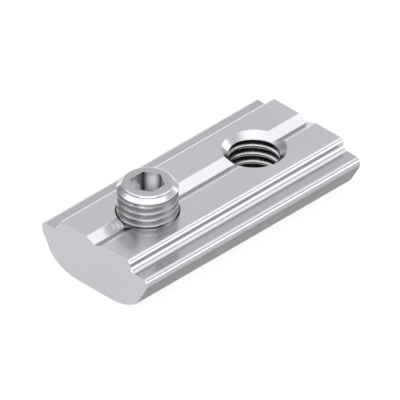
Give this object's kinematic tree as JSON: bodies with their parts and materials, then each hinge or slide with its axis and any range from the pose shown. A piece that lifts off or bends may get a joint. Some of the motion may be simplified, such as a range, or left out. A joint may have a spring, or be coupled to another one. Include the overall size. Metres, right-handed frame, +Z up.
{
  "type": "t slot nut with set screw",
  "caption": "Drawn-bar T-slot nut with a V groove, two countersunk tapped holes and a socket set screw standing in one of them.",
  "frame": {"origin": "centre of the nut's flat underside, midway along its length and width", "axes": "+X along the nut, from the set screw's hole to the free hole; +Z up out of the slot, along both holes; +Y across the nut"},
  "size_m": [0.0386, 0.019, 0.0121],
  "materials": {
    "nut_steel": "bright zinc plate over drawn bar, satin",
    "screw_steel": "bright zinc plate over turned steel"
  },
  "bodies": {
    "nut": {"nut_body": "nut_steel"},
    "screw": {"set_screw": "screw_steel"}
  },
  "joints": [
    {"name": "set_screw_travel", "type": "slide", "parent": "nut", "child": "screw", "axis": [0, 0, 1], "range_m": [-0.005, 0.002]}
  ]
}
